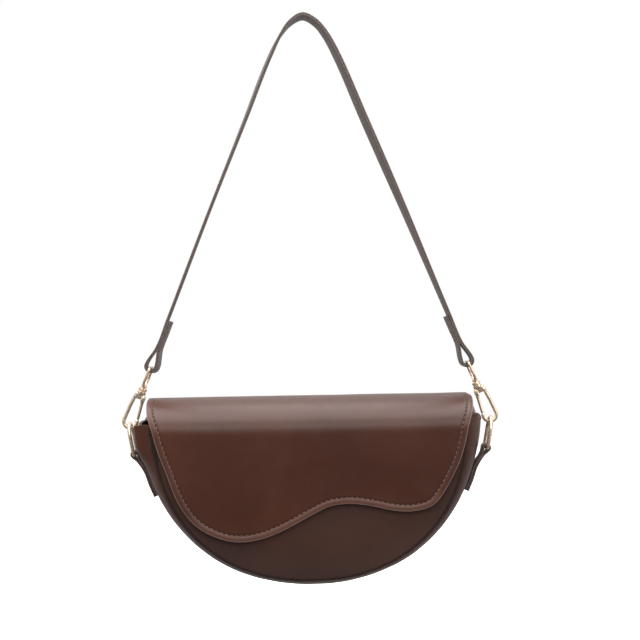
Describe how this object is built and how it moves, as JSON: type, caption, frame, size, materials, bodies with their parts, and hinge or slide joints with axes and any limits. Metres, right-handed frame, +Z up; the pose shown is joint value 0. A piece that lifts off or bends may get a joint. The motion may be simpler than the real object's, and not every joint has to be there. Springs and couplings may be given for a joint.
{
  "type": "shoulder bag",
  "caption": "Half-moon shoulder bag with a wavy fold-over flap, a clip-on strap, swivel clasps on side rings and a hidden magnetic snap.",
  "frame": {"origin": "underside of the strap at its highest point, where a hook or a shoulder carries the bag", "axes": "+Z up, -Y towards the front with the wavy flap edge, +X to the viewer's right"},
  "size_m": [0.2912, 0.0822, 0.4383],
  "materials": {
    "leather": "smooth satin brown",
    "lining": "matt dark brown",
    "board": "raw fibre board",
    "snap_metal": "pale gold plated",
    "plating": "polished pale gold",
    "spring_steel": "bright spring steel"
  },
  "bodies": {
    "strap": {"strap_outer": "leather", "strap_lining": "leather", "swivel_eye_left": "plating", "swivel_eye_right": "plating"},
    "clasp_left": {"hook_left": "plating", "gate_pin_left": "plating", "gate_spring_left": "spring_steel"},
    "clasp_right": {"hook_right": "plating", "gate_pin_right": "plating", "gate_spring_right": "spring_steel"},
    "clasp_gate_left": {"gate_left": "plating"},
    "clasp_gate_right": {"gate_right": "plating"},
    "bag": {"front_panel": "leather", "back_panel": "leather", "gusset": "leather", "front_board": "board", "back_board": "board", "front_lining": "lining", "back_lining": "lining", "gusset_lining": "lining", "snap_cup": "snap_metal", "snap_washer_front": "snap_metal", "tab_left": "leather", "tab_right": "leather"},
    "flap": {"flap_outer": "leather", "flap_lining": "lining", "snap_stud": "snap_metal", "snap_washer_flap": "snap_metal"},
    "side_ring_left": {"ring_left": "plating"},
    "side_ring_right": {"ring_right": "plating"}
  },
  "joints": [
    {"name": "bag_swing", "type": "hinge", "parent": "strap", "child": "bag", "pos_m": [0, 0, -0.32099], "axis": [1, 0, 0], "range_deg": [-45, 45]},
    {"name": "flap_hinge", "type": "hinge", "parent": "bag", "child": "flap", "pos_m": [0, 0.041, -0.32], "axis": [-1, 0, 0], "range_deg": [0, 150], "deforming": ["strap_outer", "strap_lining"]},
    {"name": "clasp_left_swivel", "type": "hinge", "parent": "strap", "child": "clasp_left", "pos_m": [-0.12226, 0, -0.26859], "axis": [-0.3795, 0, -0.9252], "range_deg": [-20, 20]},
    {"name": "clasp_right_swivel", "type": "hinge", "parent": "strap", "child": "clasp_right", "pos_m": [0.12226, 0, -0.26859], "axis": [0.3795, 0, -0.9252], "range_deg": [-20, 20]},
    {"name": "gate_left_press", "type": "hinge", "parent": "clasp_left", "child": "clasp_gate_left", "pos_m": [-0.12938, 0, -0.29359], "axis": [0, 1, 0], "range_deg": [0, 20], "stiffness_Nm_per_rad": 0.01, "springref_deg": -17.19, "deforming": ["gate_spring_left"]},
    {"name": "gate_right_press", "type": "hinge", "parent": "clasp_right", "child": "clasp_gate_right", "pos_m": [0.12938, 0, -0.29359], "axis": [0, -1, 0], "range_deg": [0, 20], "stiffness_Nm_per_rad": 0.01, "springref_deg": -17.19, "deforming": ["gate_spring_right"]},
    {"name": "ring_left_tilt", "type": "hinge", "parent": "bag", "child": "side_ring_left", "pos_m": [-0.13559, 0, -0.33488], "axis": [0, 1, 0], "range_deg": [0, 3]},
    {"name": "ring_right_tilt", "type": "hinge", "parent": "bag", "child": "side_ring_right", "pos_m": [0.13559, 0, -0.33488], "axis": [0, -1, 0], "range_deg": [0, 3]}
  ]
}
